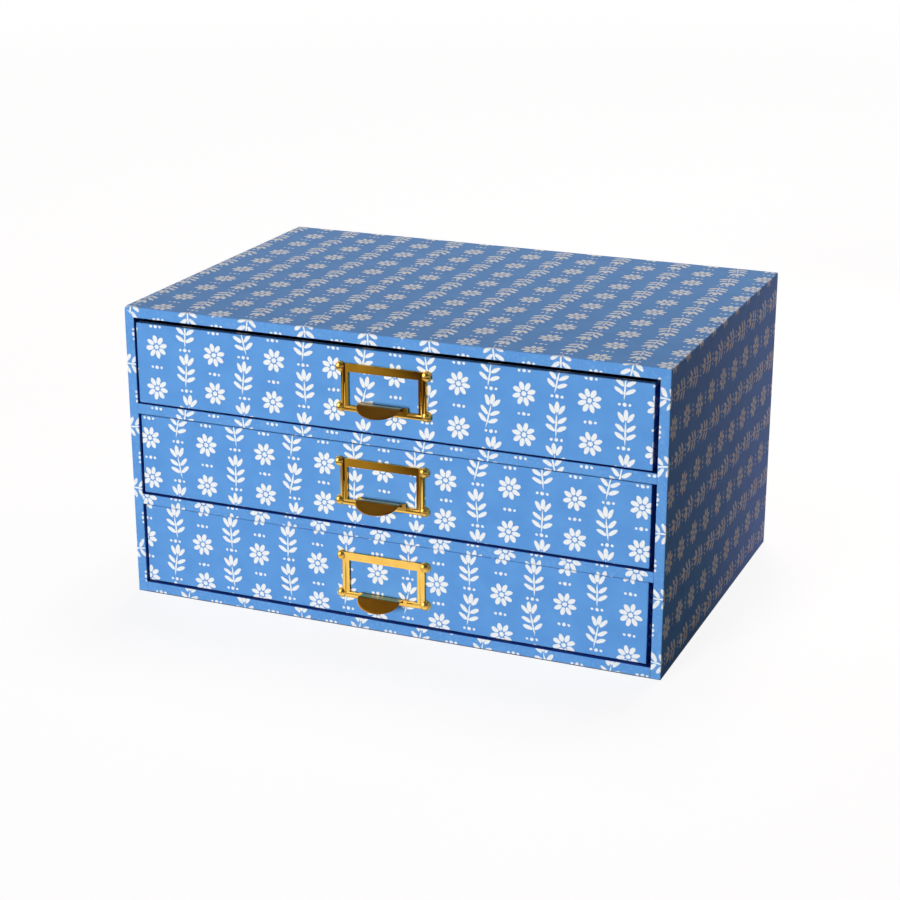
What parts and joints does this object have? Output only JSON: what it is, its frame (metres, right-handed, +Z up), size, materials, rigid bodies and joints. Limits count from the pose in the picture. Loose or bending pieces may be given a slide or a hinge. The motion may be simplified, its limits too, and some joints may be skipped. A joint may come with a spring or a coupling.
{
  "type": "mini chest of drawers",
  "caption": "Small desktop chest of drawers in board covered with printed paper; inset drawers slide out by brass card holders with a finger tab.",
  "frame": {"origin": "centre of the casing's underside, on the surface that it stands on", "axes": "+X to the right seen from the front, +Y to the back (drawers pull out along -Y), +Z up"},
  "size_m": [0.33, 0.2401, 0.178],
  "materials": {
    "board": "matte",
    "printed_paper": "satin",
    "plain_paper": "matte",
    "holder_brass": "satin",
    "pin_brass": "polished"
  },
  "bodies": {
    "casing": {"case_left_board": "board", "case_right_board": "board", "case_bottom_board": "board", "shelf_lower_board": "board", "shelf_upper_board": "board", "case_top_board": "board", "case_back_board": "board", "case_cover_paper": "printed_paper", "base_edge_paper": "printed_paper", "shelf_lower_edge_paper": "printed_paper", "shelf_upper_edge_paper": "printed_paper", "lower_bay_lining": "plain_paper", "middle_bay_lining": "plain_paper", "upper_bay_lining": "plain_paper", "back_paper": "plain_paper", "base_paper": "plain_paper"},
    "top_drawer": {"top_drawer_front_board": "board", "top_drawer_left_board": "board", "top_drawer_right_board": "board", "top_drawer_back_board": "board", "top_drawer_bottom_board": "board", "top_drawer_front_paper": "printed_paper", "top_drawer_cover_paper": "plain_paper", "top_drawer_lining": "plain_paper", "top_drawer_card_holder": "holder_brass", "top_drawer_pins": "pin_brass"},
    "middle_drawer": {"middle_drawer_front_board": "board", "middle_drawer_left_board": "board", "middle_drawer_right_board": "board", "middle_drawer_back_board": "board", "middle_drawer_bottom_board": "board", "middle_drawer_front_paper": "printed_paper", "middle_drawer_cover_paper": "plain_paper", "middle_drawer_lining": "plain_paper", "middle_drawer_card_holder": "holder_brass", "middle_drawer_pins": "pin_brass"},
    "bottom_drawer": {"bottom_drawer_front_board": "board", "bottom_drawer_left_board": "board", "bottom_drawer_right_board": "board", "bottom_drawer_back_board": "board", "bottom_drawer_bottom_board": "board", "bottom_drawer_front_paper": "printed_paper", "bottom_drawer_cover_paper": "plain_paper", "bottom_drawer_lining": "plain_paper", "bottom_drawer_card_holder": "holder_brass", "bottom_drawer_pins": "pin_brass"}
  },
  "joints": [
    {"name": "top_drawer_slide", "type": "slide", "parent": "casing", "child": "top_drawer", "axis": [0, -1, 0], "range_m": [-0.0015, 0.16]},
    {"name": "middle_drawer_slide", "type": "slide", "parent": "casing", "child": "middle_drawer", "axis": [0, -1, 0], "range_m": [-0.0004, 0.16]},
    {"name": "bottom_drawer_slide", "type": "slide", "parent": "casing", "child": "bottom_drawer", "axis": [0, -1, 0], "range_m": [-0.0001, 0.16]}
  ]
}
